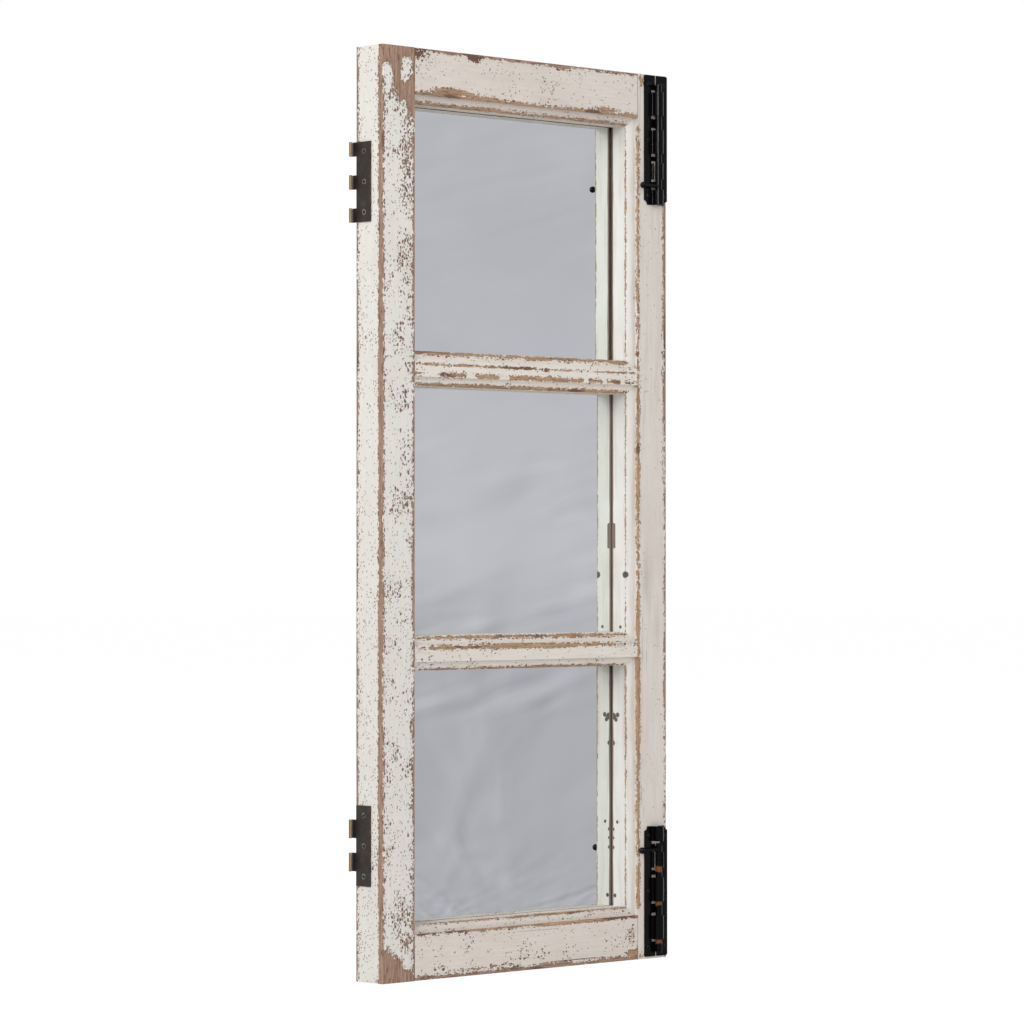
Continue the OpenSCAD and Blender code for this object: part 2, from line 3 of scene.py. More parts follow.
import bpy
from bpy.props import FloatProperty, FloatVectorProperty
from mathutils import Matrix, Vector


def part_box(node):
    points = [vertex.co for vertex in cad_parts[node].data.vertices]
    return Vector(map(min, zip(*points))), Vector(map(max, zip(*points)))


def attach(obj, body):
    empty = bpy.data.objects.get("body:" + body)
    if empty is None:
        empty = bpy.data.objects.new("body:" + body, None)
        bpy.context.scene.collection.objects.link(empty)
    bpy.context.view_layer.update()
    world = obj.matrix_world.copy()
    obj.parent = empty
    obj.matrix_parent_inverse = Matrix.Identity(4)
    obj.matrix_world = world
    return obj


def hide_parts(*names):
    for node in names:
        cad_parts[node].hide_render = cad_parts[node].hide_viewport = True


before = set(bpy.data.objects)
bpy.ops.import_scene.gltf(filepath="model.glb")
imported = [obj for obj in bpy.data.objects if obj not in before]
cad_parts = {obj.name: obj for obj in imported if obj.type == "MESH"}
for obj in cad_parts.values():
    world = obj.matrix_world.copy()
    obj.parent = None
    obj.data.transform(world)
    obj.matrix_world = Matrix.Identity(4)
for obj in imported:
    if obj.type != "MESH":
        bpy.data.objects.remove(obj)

bl_info = {
    "name": "Window mirror",
    "version": (1, 0, 0),
    "blender": (4, 5, 0),
    "location": "View3D > Sidebar > Mirror",
    "description": "Finishes the three-light sash mirror: worn paint, silvered panes and metalwork",
    "category": "Object",
}

MM = 0.001
MIRRORS = ("top_mirror", "middle_mirror", "bottom_mirror")
BACKERS = ("top_backer", "middle_backer", "bottom_backer")
BOLTS = ("upper", "lower")
HINGES = ("upper_hinge_leaf", "lower_hinge_leaf")
HANGERS = (
    "left_hanger_strap", "right_hanger_strap", "left_hanger_ring", "right_hanger_ring", "hanger_screws",
)

# Where the sash's own edges run, from the solids that carry them
SASH_LOW, SASH_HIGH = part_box("right_stile")
HALF_WIDTH = SASH_HIGH.x
HALF_HEIGHT = SASH_HIGH.z
FRONT = SASH_LOW.y
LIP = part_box("middle_mirror")[0].y
# Widths of the rebates and the moulding, and how far the moulding's foot lies behind the front
REBATE = 7 * MM
MOULDING = 8 * MM
DROP = 8.6 * MM
# The edge of the opening and the start of the flat face, across the stiles and up the rails
SIGHT = SASH_LOW.x
FLAT = SIGHT + MOULDING
RAIL_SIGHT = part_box("top_rail")[0].z
RAIL_FLAT = RAIL_SIGHT + MOULDING
# How much deeper than its setting each pane's silvering lies, in the order of MIRRORS
PANE_SHIFTS = (0.7 * MM, -0.5 * MM, -0.2 * MM)
# Marks in the right stile's wall beside the mirrors: depth, height and radius in millimetres
WALL_HOLES = (
    (-25.6, -55, 4.4), (-19.8, -104, 2.3), (-16.2, -186.5, 3.2), (-11.2, -188, 4.6), (-13.8, -191, 3.0),
    (-10.5, -213, 3.0), (-15.7, -287, 2.4), (-10.5, -294, 2.2), (-10.5, -302, 1.9), (-10.5, -311, 2.2),
    (-12.5, -356, 2.6),
)
# Long cracks in the right stile's face: across, height and half length in millimetres
LONG_CRACKS = ((148, -118, 66), (153, -130, 52), (146.5, -262, 28), (149.5, -275, 30), (147, -200, 14))
# A notch in the edge of the right stile's rebate, and half its height
NOTCH = -18.5 * MM
NOTCH_REACH = 12.5 * MM
# Rusty places on the lower rod, in millimetres above its plate's end, and how far each reaches
RUST_PLACES = (14.8, 50.4, 81.7)
RUST_REACH = 5 * MM
# Outer radius of a hinge's knuckle
KNUCKLE = 3.15 * MM

# Colours of small marks on the metalwork, among them a painted highlight and a painted shade
PRIMER = (0.06, 0.045, 0.035)
WORN_BRONZE = (0.09, 0.06, 0.045)
KNUCKLE_HIGHLIGHT = (0.85, 0.76, 0.70)
RECESS_SHADE = (0.004, 0.004, 0.004)

# Where the camera stands and how it is turned, solved from the sash's corners in the photograph
CAMERA = Vector((-2.5888, -2.7133, -0.0395))
YAW = 0.7642
PITCH = 0.0113
# The cloth's distance and height, and the share of that distance where its foot ends
CLOTH_RADIUS = 5.5
CLOTH_HEIGHT = 4.5
CLOTH_END = 0.012
# The cloth's pattern is laid out as seen from this far below the sash's middle
EYE = 0.04
# Rise, seen from there, at which the cloth's foot starts
FOOT = -0.068
# The floor's width, and the gap under the sash
FLOOR_SIZE = 40
FLOOR_GAP = 0.3 * MM
# Each lamp's name, place, size, power in watts and colour
LAMPS = (
    ("key_lamp", (-3.2, -1.6, 1.7), (2.2, 2.2), 85, (1, 1.0, 0.985)),
    ("fill_lamp", (0.6, -3.8, 1.4), (2.4, 2.4), 22, (0.97, 0.985, 1)),
    ("back_lamp", (1.6, 2.8, 1.6), (2.0, 2.0), 30, (1, 1, 1)),
    ("strip_lamp", (-2.9, -2.4, 0.9), (0.22, 1.7), 60, (1, 1, 1)),
)


def colour_setting(name, description, default):
    """A colour that a user may change."""
    return FloatVectorProperty(
        name=name, description=description, subtype="COLOR", size=3, min=0, max=1, default=default,
    )


class SashSettings(bpy.types.PropertyGroup):
    """The painted wood and the hardboard"""

    paint: colour_setting("Paint", "Colour of the old paint", (0.75, 0.71, 0.667))
    wood: colour_setting("Bare wood", "Colour of the wood where the paint is gone", (0.35, 0.222, 0.16))
    tan_wood: colour_setting("Tan wood", "Colour of the yellower bare wood", (0.47, 0.295, 0.17))
    # The rebate colour is dirty bare wood and painted shade along the gap to the mirrors
    rebate: colour_setting("Rebate", "Colour of the dirty wood at the mirrors' edges", (0.17, 0.125, 0.10))
    # This colour is also the painted shade in chips and along the paint's broken edges
    dirt_and_shade_wood: colour_setting("Dark wood", "Colour of dirt in chips and cracks", (0.115, 0.055, 0.035))
    under: colour_setting("Under-layer", "Colour of the older paint round the chips", (0.50, 0.39, 0.29))
    wash: colour_setting("Wash", "Colour of the pinkish streaks in the paint", (0.47, 0.425, 0.39))
    # On the right stile's moulding this colour is painted light
    clean: colour_setting("Clean paint", "Colour of the paint beside the mirrors", (0.68, 0.672, 0.65))
    board: colour_setting("Hardboard", "Colour of the backers", (0.30, 0.17, 0.09))
    paint_depth: FloatProperty(
        name="Paint depth", description="Thickness of the paint's layers", unit="LENGTH",
        min=0, max=0.001, default=0.00045,
    )


class MirrorSettings(bpy.types.PropertyGroup):
    """The panes"""

    silver: colour_setting("Silver", "Tint of the reflection", (0.862, 0.897, 0.863))
    depth: FloatProperty(
        name="Silver depth", description="How far the silvering lies behind the glass's front",
        unit="LENGTH", min=0.0006, max=0.002, default=0.0011,
    )


class MetalSettings(bpy.types.PropertyGroup):
    """The bolts, hinges, screws and hangers"""

    lacquer: colour_setting("Lacquer", "Colour of the black lacquer on the bolts", (0.0018, 0.0018, 0.002))
    rust: colour_setting("Rust", "Colour of the rust on the lower rod", (0.17, 0.065, 0.025))
    bronze: colour_setting("Bronze", "Colour of the hinges' darkened faces", (0.022, 0.017, 0.0145))
    brass: colour_setting("Brass", "Colour of the hinges' worn edges", (0.36, 0.25, 0.11))
    screw: colour_setting("Screws", "Colour of the hinges' screws", (0.035, 0.031, 0.028))
    steel: colour_setting("Steel", "Colour of the screws' worn rims", (0.30, 0.28, 0.26))
    plating: colour_setting("Yellow plating", "Colour of the hangers' plating", (0.62, 0.5, 0.28))
    zinc: colour_setting("Pale plating", "Colour of the plating where it is thin", (0.72, 0.68, 0.6))


class StageSettings(bpy.types.PropertyGroup):
    """The camera, the floor, the cloth and the surrounding light"""

    lens: FloatProperty(
        name="Lens", description="Focal length on a 36 mm sensor", unit="CAMERA",
        min=20, max=400, default=143.5,
    )
    floor: colour_setting("Floor", "Colour of the floor where it is seen", (0.2, 0.2, 0.2))
    white: colour_setting("Floor's white", "What is added to the floor where it is seen", (0.9, 0.9, 0.9))
    bounce: colour_setting("Floor's bounce", "Colour that the floor throws at the sash", (0.5, 0.49, 0.48))
    lift: colour_setting("Floor's lift", "Soft light that the floor adds from below", (0.42, 0.41, 0.40))
    cloth: colour_setting("Cloth", "Colour of the cloth that the mirrors reflect", (0.577, 0.561, 0.618))
    soft: FloatProperty(
        name="Surrounding light", description="Strength of the plain light from all round",
        min=0, max=2, default=0.47,
    )


# Formulas and materials


class Amount:
    """One output of a tree's nodes, with the arithmetic that a formula needs."""

    def __init__(self, tree, socket):
        self.tree = tree
        self.socket = socket

    def __add__(self, other):
        return self.tree.math("ADD", self, other)

    __radd__ = __add__

    def __sub__(self, other):
        return self.tree.math("SUBTRACT", self, other)

    def __rsub__(self, other):
        return self.tree.math("SUBTRACT", other, self)

    def __mul__(self, other):
        return self.tree.math("MULTIPLY", self, other)

    __rmul__ = __mul__

    def __truediv__(self, other):
        return self.tree.math("DIVIDE", self, other)

    def __abs__(self):
        return self.tree.math("ABSOLUTE", self)

    def root(self):
        return self.tree.math("SQRT", self)

    def at_least(self, other):
        return self.tree.math("MAXIMUM", self, other)

    def at_most(self, other):
        return self.tree.math("MINIMUM", self, other)

    def kept(self):
        """The amount, kept from 0 to 1."""
        return self.at_least(0.0).at_most(1.0)

    def ramp(self, low, high):
        """Goes from 0 at low to 1 at high, with soft ends, and stays there beyond them."""
        return self.tree.add(
            "ShaderNodeMapRange", {"interpolation_type": "SMOOTHSTEP"},
            {"Value": self, "From Min": low, "From Max": high},
        )


def full(colour):
    """A colour as a socket takes it: an amount as it is, and numbers with their alpha."""
    return colour if isinstance(colour, Amount) else (*colour, 1)


class Nodes:
    """A node tree under construction."""

    def __init__(self, tree):
        self.nodes = tree.nodes
        self.links = tree.links
        self.nodes.clear()

    def node(self, kind, settings=None, sockets=None):
        """Adds a node with its settings, and then its sockets' values or links."""
        node = self.nodes.new(kind)
        for name, value in (settings or {}).items():
            setattr(node, name, value)
        for key, value in (sockets or {}).items():
            if isinstance(value, Amount):
                self.links.new(value.socket, node.inputs[key])
            else:
                node.inputs[key].default_value = value
        return node

    def add(self, kind, settings=None, sockets=None, out=0):
        """One output of a node that is added so."""
        return Amount(self, self.node(kind, settings, sockets).outputs[out])

    def other(self, amount, name):
        """Another output of the node that an amount comes from."""
        return Amount(self, amount.socket.node.outputs[name])

    def math(self, operation, first, second=None):
        """The result of a Math node on one or two amounts or numbers."""
        values = {0: first} if second is None else {0: first, 1: second}
        return self.add("ShaderNodeMath", {"operation": operation}, values)

    def mix(self, share, first, second):
        """A colour between two, by share."""
        colours = {0: share, 6: full(first), 7: full(second)}
        return self.add("ShaderNodeMix", {"data_type": "RGBA"}, colours, out=2)

    def seen(self):
        """1 for what the camera, reflections and glass see, and 0 for the light that falls on things."""
        camera = self.add("ShaderNodeLightPath", out="Is Camera Ray")
        glossy = self.other(camera, "Is Glossy Ray")
        through = self.other(camera, "Is Transmission Ray")
        return camera.at_least(glossy.at_least(through))

    def glow(self, colour, strength=1.0):
        """A light-giving shader."""
        return self.add("ShaderNodeEmission", {}, {"Color": full(colour), "Strength": strength})


class Finish(Nodes):
    """A material under construction, with the place on the piece in metres."""

    def __init__(self, name):
        self.material = bpy.data.materials.new(name)
        self.material.use_nodes = True
        super().__init__(self.material.node_tree)
        self.here = self.add("ShaderNodeTexCoord", out="Object")
        self.x = self.add("ShaderNodeSeparateXYZ", {}, {0: self.here})
        self.y = self.other(self.x, "Y")
        self.z = self.other(self.x, "Z")

    def stretched(self, scale, shift=(0, 0, 0)):
        """The place, scaled along each axis and then shifted."""
        scaled = self.add("ShaderNodeVectorMath", {"operation": "MULTIPLY"}, {0: self.here, 1: scale})
        return self.add("ShaderNodeVectorMath", {"operation": "ADD"}, {0: scaled, 1: shift})

    def noise(self, scale, shift=(0, 0, 0), detail=3.0, rough=0.55):
        """Noise whose waves are one unit long after scaling; scale is a number or one for each axis."""
        if not hasattr(scale, "__len__"):
            scale = (scale,) * 3
        place = self.stretched(scale, shift)
        sockets = {"Vector": place, "Scale": 1.0, "Detail": detail, "Roughness": rough}
        return self.add("ShaderNodeTexNoise", {}, sockets)

    def bump(self, height, depth, strength):
        """A normal that shows a height without moving the surface."""
        sockets = {"Height": height, "Distance": depth, "Strength": strength}
        return self.add("ShaderNodeBump", {}, sockets)

    def shade(self, **sockets):
        """Ends the material in a Principled shader with these sockets, and returns the material."""
        named = {key.replace("_", " "): value for key, value in sockets.items()}
        return self.end(self.add("ShaderNodeBsdfPrincipled", {}, named))

    def end(self, shader):
        """Ends the material in a shader, and returns the material."""
        self.node("ShaderNodeOutputMaterial", {}, {"Surface": shader})
        return self.material


def dress(material, *names):
    """Gives CAD nodes one material."""
    for name in names:
        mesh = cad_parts[name].data
        mesh.materials.clear()
        mesh.materials.append(material)


def toned(colour, factor):
    """A colour made darker or lighter by one factor, or by one for each channel."""
    factors = factor if hasattr(factor, "__len__") else (factor,) * 3
    return [channel * one for channel, one in zip(colour, factors)]


# Wear on the wood


def distance(off, up):
    """How far away a place is that lies off to the side and up from another."""
    return (off * off + up * up).root()


def band(finish, across, at, depth, width, strength):
    """Wear along one long edge: strength on the edge, down to 0 at width from it."""
    away = distance(across - at, finish.y - depth)
    return (strength - away * (strength / width)).at_least(0.0)


def front(finish):
    """1 on the front face, down to 0 a few millimetres behind it."""
    return 1 - (finish.y - FRONT).ramp(0.5 * MM, 6 * MM)


def past(finish, first, second, soft, strength=1.1):
    """Wear on the front, right of a line between two places, in millimetres; on it, half of strength."""
    run_x = second[0] - first[0]
    run_z = second[1] - first[1]
    length = math.hypot(run_x, run_z)
    beyond = (finish.x - first[0] * MM) * (run_z / length) - (finish.z - first[1] * MM) * (run_x / length)
    return (beyond / (soft * MM) + 0.5).kept() * strength * front(finish)


def disc(off, up, radius, strength=1.6):
    """A round spot: strength in its middle, down to 0 at its radius."""
    return (strength - distance(off, up) * (strength / radius)).at_least(0.0)


def patch(finish, x, z, half_x, half_z, strength=1.0):
    """A worn patch on the front, in millimetres: strength in its middle, down to 0 at its rim."""
    off = (finish.x - x * MM) / (half_x * MM)
    up = (finish.z - z * MM) / (half_z * MM)
    return disc(off, up, 1.0, strength) * front(finish)


def patches(finish, *places):
    """Several patches as one, each place as patch takes it."""
    marks = patch(finish, *places[0])
    for place in places[1:]:
        marks = marks.at_least(patch(finish, *place))
    return marks


class Timber:
    """What one wooden member's finish is worked out from: its grain, its place and its wear so far.

    way is the axis that the grain runs along, and middle is the height of a muntin's middle line.
    """

    def __init__(self, name, way, seed, middle=None):
        self.finish = f = Finish(name)
        self.seed = seed
        self.upright = way == "z"
        self.along = f.z if self.upright else f.x
        # How far a place lies across the member, and how far round its section
        if middle is None:
            self.across = abs(f.x) if self.upright else abs(f.z)
            self.girth = self.across - f.y
        else:
            self.across = abs(f.z - middle)
            self.girth = f.z + f.y * 0.5
        self.wear = None
        # The textures that several layers share
        self.ragged = self.noise(6, 2.0, 1.0, detail=4, rough=0.66)
        self.chunky = self.noise(18, 2.4, 2.0)
        self.slow = self.noise(85, 1.5, 3.0, detail=2)
        self.grain = self.noise(22, 20, 6.0, detail=5, rough=0.6)
        self.brush = self.noise(30, 28, 9.0, detail=4, rough=0.7)
        self.grit = self.noise(1.7, 1.3, 14.0, detail=2)

    def noise(self, size, slim, shift, detail=3, rough=0.55):
        """Noise with waves size millimetres long along the grain, and slimmer across it by slim."""
        shape = (slim, slim, 1) if self.upright else (1, slim, slim)
        place = (self.seed + shift, self.seed * 0.37, self.seed * 0.61)
        return self.finish.noise([factor / (size * MM) for factor in shape], place, detail, rough)

    def wears(self, *amounts):
        """Adds wear: the strongest counts at each place."""
        for amount in amounts:
            self.wear = amount if self.wear is None else self.wear.at_least(amount)

    def keeps(self, *places):
        """Leaves islands of paint standing in worn wood, each place as patch takes it."""
        for place in places:
            self.wear = (self.wear - patch(self.finish, *place)).at_least(0.0)

    def bands(self, edges):
        """Adds the wear of long edges, each (across, depth, width in millimetres, strength)."""
        for at, depth, width, strength in edges:
            self.wears(band(self.finish, self.across, at, depth, width * MM, strength))

    def plain(self):
        """Marks nothing."""
        return self.across * 0.0

    def field(self):
        """The wear with a ragged edge: the wood is bare where it passes 0.5."""
        crumbs = self.noise(2.4, 1.3, 0.5, detail=2)
        uneven = (self.ragged - 0.5) * 1.1 + (crumbs - 0.5) * 1.1
        uneven = uneven + (self.chunky - 0.5) * 0.9 + (self.slow - 0.5) * 0.9
        return self.wear + uneven * (self.wear * 3 + 0.35).at_most(1.0)

    def specks(self, size, slim, share, reach, shift):
        """Chips in the paint: about share of the cells, each size long, hold a chip that reaches so far."""
        f = self.finish
        place = f.add("ShaderNodeCombineXYZ", {}, {
            "X": self.girth * (slim / (size * MM)) + self.seed + shift,
            "Y": self.along / (size * MM) + self.seed,
            "Z": 0.0,
        })
        wobble = self.noise(size * 0.8, slim, shift, detail=2)
        cell = {"Vector": place, "Scale": 1.0}
        away = f.add("ShaderNodeTexVoronoi", {"voronoi_dimensions": "2D"}, cell, out="Distance")
        lots = f.add("ShaderNodeSeparateColor", {}, {"Color": f.other(away, "Color")})
        held = (share - lots).ramp(0.0, 0.02)
        inside = f.other(lots, "Green") * reach * 0.55 + reach * 0.5 - away
        return (inside + (wobble - 0.5) * 0.7).ramp(0.0, 0.06) * held

    def chips(self, dusted, specks, dust):
        """Larger and fine chips, by their shares, crowded in places and near worn edges."""
        crowd = self.noise(36, 1.5, 5.0, detail=2).ramp(0.48, 0.65)
        near = self.wear.ramp(0.02, 0.45)
        share = ((crowd * 1.5 + 0.12) * specks + near * 0.35) * dusted
        large = self.specks(4.6, 1.5, share, 0.42, 4.0)
        small = self.specks(2.8, 1.3, share * 0.8, 0.42, 4.5)
        fine = self.specks(1.7, 1.2, ((crowd + 0.35) * dust + near * 0.25) * dusted, 0.5, 4.8)
        return large.at_least(small), fine


def bare_wood(timber, settings, tan, dark, soiled):
    """Wood without paint: reddish or tan in blotches, and dirty in dashes, runs and where it is soiled.
    soiled brings a painted shadow along the paint's broken edge, and dirt with painted shade in chips.
    """
    f = timber.finish
    streaky = timber.grain.ramp(0.3, 0.7)
    blotch = timber.noise(60, 3, 7.0)
    runs = timber.noise(75, 5, 7.5, detail=3)
    dashes = timber.noise(9, 6, 8.0)
    reddish = f.mix(streaky, toned(settings.wood, 0.66), toned(settings.wood, 1.2))
    golden = f.mix(streaky, toned(settings.tan_wood, 0.66), toned(settings.tan_wood, 1.12))
    wood = f.mix((blotch + tan - 0.5).ramp(0.4, 0.6), reddish, golden)
    dirt = (dashes.ramp(0.54, 0.64) * 0.7).at_least((runs + dark).ramp(0.58, 0.66) * 0.85)
    return f.mix(dirt.at_least(soiled), wood, settings.dirt_and_shade_wood)


def old_paint(timber, settings, clean, tint, wash, shade, rim):
    """The paint that is left: brushed, clouded, gritty and streaked, and older along a rim."""
    f = timber.finish
    colour = toned(settings.paint, tint)
    cloudy = timber.noise(70, 2.0, 10.0, detail=5)
    streaks = timber.noise(110, 14, 11.0, detail=4, rough=0.65)
    hairs = timber.noise(16, 26, 12.0, detail=2)
    paint = f.mix(timber.brush.ramp(0.25, 0.75), toned(colour, 0.93), toned(colour, 1.05))
    paint = f.mix(clean, paint, settings.clean)
    paint = f.mix(cloudy.ramp(0.45, 0.75) * 0.5, paint, toned(colour, (0.88, 0.86, 0.84)))
    paint = f.mix(hairs.ramp(0.66, 0.72) * 0.22, paint, settings.under)
    paint = f.mix(timber.grit.ramp(0.5, 0.75) * 0.16, paint, settings.under)
    if wash:
        paint = f.mix(streaks.ramp(0.48, 0.68) * wash, paint, settings.wash)
    # Greyer where shade marks it: painted shade, and on the right stile a knot
    if shade is not None:
        paint = f.mix(shade, paint, settings.wash)
    return f.mix(rim * 0.28, paint, settings.under)


def painted(timber, settings, rebate, clean, tint, specks, dust, tan, dark, pits=0.35, wash=0.0,
            cracks=None, shade=None):
    """Old paint over wood, from a member's wear.

    rebate marks the dark wood round the mirror: dirty bare wood, and painted shade along the gap to the
    mirror.
    clean marks the whiter paint beside it. tint colours the paint. specks and dust are the shares of larger
    and smaller chips, and pits is how dark they are, with dirt and painted shade. tan is the share of
    yellowish bare wood, and dark adds to that of dirty bare wood. wash is the strength of streaks in the
    paint, cracks marks dark cracks, and shade marks greyer paint: painted shade on the left stile's lower
    half and on the top rail's downward slope, and a knot on the right stile.
    """
    f = timber.finish
    field = timber.field()
    worn = field.ramp(0.50, 0.535)
    flecked, fine = timber.chips(1 - clean, specks, dust)
    bare = worn.at_least(flecked).at_least(fine * 0.8)
    # Painted shadow: the bare wood along the paint's broken edge is darkened
    chip_edge_shadow = (1 - field.ramp(0.50, 0.68)) * worn
    # Dirt and painted shade: the chips are darkened by pits
    chip_dirt_and_shade = flecked.at_least(fine) * pits * (1 - worn)
    wood = bare_wood(timber, settings, tan, dark, (chip_edge_shadow * 0.5).at_least(chip_dirt_and_shade))
    paint = old_paint(timber, settings, clean, tint, wash, shade, field.ramp(0.34, 0.5))
    surface = f.mix(bare, paint, wood)

    relief = (timber.brush + timber.ragged) * 0.12 + (timber.chunky + timber.slow) * 0.3 + timber.grit * 0.1
    height = 1 - bare * 0.9 - bare * (1 - timber.grain) * 0.25 + relief
    if cracks is not None:
        open_crack = (cracks + (timber.ragged - 0.5) * 0.7).ramp(0.35, 0.6)
        surface = f.mix(open_crack * 0.9, surface, toned(settings.dirt_and_shade_wood, 0.4))
        height = height - open_crack
    # Dirty bare wood at the rebate, and painted shade along the gap to the mirror
    dim = (rebate + (timber.chunky - 0.5) * 0.4).ramp(0.45, 0.65)
    return f.shade(
        Base_Color=f.mix(dim, surface, settings.rebate),
        Roughness=0.6 + bare * 0.22 + (timber.brush - 0.5) * 0.12,
        Normal=f.bump(height, settings.paint_depth, 0.9),
        Specular_IOR_Level=0.3,
    )


def clean_wall(timber):
    """Marks the whiter paint on a stile's wall between the moulding and the mirror."""
    inner = 1 - (timber.across - SIGHT).ramp(0.2 * MM, 1.0 * MM)
    return inner * (timber.finish.y - FRONT - DROP).ramp(-0.5 * MM, 0.0)


def rebate_dirt_and_shade(timber, reach, lead=0.5 * MM):
    """Marks the dark wood at the mirror's edge: the rebate, and a strip of the wall as wide as lead.
    The wood there is dirty, and painted shade darkens it along the gap to the mirror.
    """
    behind = timber.finish.y - LIP
    inside = 1 - (timber.across - reach).ramp(0.1 * MM, 0.4 * MM)
    uneven = (timber.noise(34, 3, 13.0) - 0.5) * 1.4
    deep = (behind + lead) / (1.2 * MM) + uneven + 0.5
    return inside * deep.kept() * (1 - behind.ramp(4 * MM, 5 * MM))


def joint_cracks(finish):
    """Dark cracks where a rail or muntin meets the stiles' flat faces."""
    return 1 - (FLAT - abs(finish.x)) / (0.8 * MM)


class MIRROR_OT_finish_stiles(bpy.types.Operator):
    """Paint and wear both stiles"""

    bl_idname = "mirror.finish_stiles"
    bl_label = "Finish stiles"

    def execute(self, context):
        self.left(context.scene.sash)
        self.right(context.scene.sash)
        return {"FINISHED"}

    def left(self, settings):
        """Bare corners, heavy wear on the outer edge and dense chips towards the mirrors."""
        stile = Timber("left_stile_paint", "z", 4.0)
        f = stile.finish
        stile.bands((
            (HALF_WIDTH, FRONT + 2.5 * MM, 4.8, 1.2),
            (HALF_WIDTH, -0.5 * MM, 5.0, 0.78),
            (FLAT - 0.6 * MM, FRONT, 5.6, 0.9),
            (SIGHT, FRONT + DROP, 3.0, 0.7),
            (SIGHT + REBATE, 0, 3.0, 0.7),
        ))
        stile.wears(
            past(f, (-142, 409), (-180, 409), 6),
            past(f, (-141.6, 347), (-180, 393), 16),
            past(f, (-150, 290), (-168, 372), 34, 0.45),
            past(f, (-180, -382), (-142, -407), 13),
            patch(f, -150, -380, 16, 18, 0.5),
        )
        stile.keeps((-173, 391, 8, 15, 1.3), (-151, 395, 12, 18, 1.3), (-150, -400, 8, 5))
        # The lower half, where the chips crowd and painted shade greys the paint,
        # and the face's inner part, where the chips crowd
        low_down = 1 - f.z.ramp(-0.2, 0.2)
        inner = front(f) * (1 - (stile.across - FLAT).ramp(4 * MM, 34 * MM) * 0.75)
        dress(painted(
            stile, settings, rebate_dirt_and_shade(stile, SIGHT + REBATE, 2 * MM), clean_wall(stile),
            tint=(1.0, 1.03, 1.035), specks=inner * 0.42 + 0.03, dust=0.22 + low_down * 0.12, pits=0.6,
            tan=0.22, dark=-0.03, shade=low_down * 0.08,
        ), "left_stile")

    def right(self, settings):
        """Smoother and greyer paint, tan wood along the moulding, and cracks and holes."""
        stile = Timber("right_stile_paint", "z", 17.0)
        f = stile.finish
        stile.bands((
            (HALF_WIDTH, FRONT + 0.5 * MM, 6.0, 0.80),
            (HALF_WIDTH, -0.5 * MM, 4.0, 0.72),
            (SIGHT, FRONT + DROP, 2.0, 0.68),
            (SIGHT + REBATE, 0, 3.0, 0.7),
        ))
        # The stretch between the rails, less wear towards its top, and the stile's upper half
        beside = 1 - abs(f.z).ramp(0.364, 0.370)
        fading = 1 - f.z.ramp(0.1, 0.25) * 0.22
        high_up = f.z.ramp(-0.05, 0.1)
        stile.wears(
            band(f, stile.across, FLAT + 0.3 * MM, FRONT, 4.6 * MM, 0.82) * beside * fading,
            band(f, stile.across, HALF_WIDTH, FRONT, 8 * MM, 0.9) * high_up,
            patch(f, 139.8, -262, 5, 105, 1.0) * beside,
            patches(
                f, (141, 215, 3.5, 34, 0.85), (138, 172, 4, 9, 0.8), (139, 100, 4, 18, 0.85),
                (142, 153, 3.5, 8), (142.5, 139, 3, 7), (141, 62, 4, 6), (146.5, 410, 6, 12, 0.8),
                (145, -411, 8, 6, 0.9),
            ),
        )
        stile.keeps((140, -322, 3, 9, 0.9))
        # Whiter paint: cleaner on the wall, and painted light on the moulding, whose slope faces the lamps
        whiter = clean_wall(stile).at_least((FLAT - stile.across).ramp(0.0, 1.5 * MM) * 0.75)
        notch = (1 - abs(f.z - NOTCH) / NOTCH_REACH).ramp(0.0, 0.12)
        dress(painted(
            stile, settings, rebate_dirt_and_shade(stile, SIGHT + REBATE, notch * (2.8 * MM) + 2 * MM), whiter,
            tint=(0.925, 0.907, 0.895), specks=0.008, dust=0.03,
            tan=0.66 - (f.x - FLAT).ramp(0.01, 0.02) * 0.35,
            dark=patches(f, (142, 148, 6, 18, 0.4), (141, 62, 6, 9, 0.3)) - 0.03,
            wash=0.38, cracks=self.holes(f), shade=patch(f, 155, -58, 11, 30, 0.5),
        ), "right_stile")

    def holes(self, f):
        """The right stile's cracks, and the old hardware's marks in its wall beside the mirrors."""
        holes = patches(f, (136, 163, 1.4, 4, 0.9), (144, -58, 1.2, 4, 0.9))
        for depth, height, radius in WALL_HOLES:
            holes = holes.at_least(disc(f.y - depth * MM, f.z - height * MM, radius * MM))
        holes = holes * (1 - (f.x - FLAT) / (2 * MM)).kept()
        return holes.at_least(patches(f, *((x, z, 0.5, half, 0.66) for x, z, half in LONG_CRACKS)))


